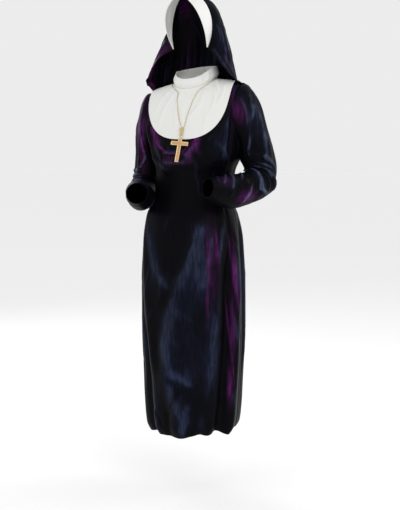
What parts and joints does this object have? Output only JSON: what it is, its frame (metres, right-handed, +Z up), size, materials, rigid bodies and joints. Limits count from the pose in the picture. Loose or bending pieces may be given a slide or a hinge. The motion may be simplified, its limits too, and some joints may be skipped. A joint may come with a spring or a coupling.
{
  "type": "nun costume",
  "caption": "Nun costume in its worn shape: black velour dress, white bib and neck band, veil on a white headband, gold cross necklace",
  "frame": {"origin": "centre of the neck's base, at the height of the shoulder line, inside the neck opening", "axes": "+Z up along the body, -Y to the front of the dress, +X to the wearer's left"},
  "size_m": [0.5241, 0.3583, 1.5049],
  "materials": {
    "velour": "black crushed velour with a blue and purple sheen",
    "bib_cotton": "matte white woven cotton",
    "headband_jersey": "soft white stretch jersey",
    "gold_metal": "gold-coloured plated alloy"
  },
  "bodies": {
    "garment": {"dress_front": "velour", "dress_back": "velour", "sleeve_left": "velour", "sleeve_right": "velour", "bib_front": "bib_cotton", "bib_back": "bib_cotton", "bib_neckband": "bib_cotton", "headband": "headband_jersey", "veil": "velour", "necklace_chain": "gold_metal", "necklace_centrepiece": "gold_metal"},
    "pendant": {"cross": "gold_metal"}
  },
  "joints": [
    {"name": "cross_swing", "type": "hinge", "parent": "garment", "child": "pendant", "pos_m": [0.003, -0.12464, -0.1765], "axis": [-1, 0, 0], "range_deg": [0, 75]}
  ]
}
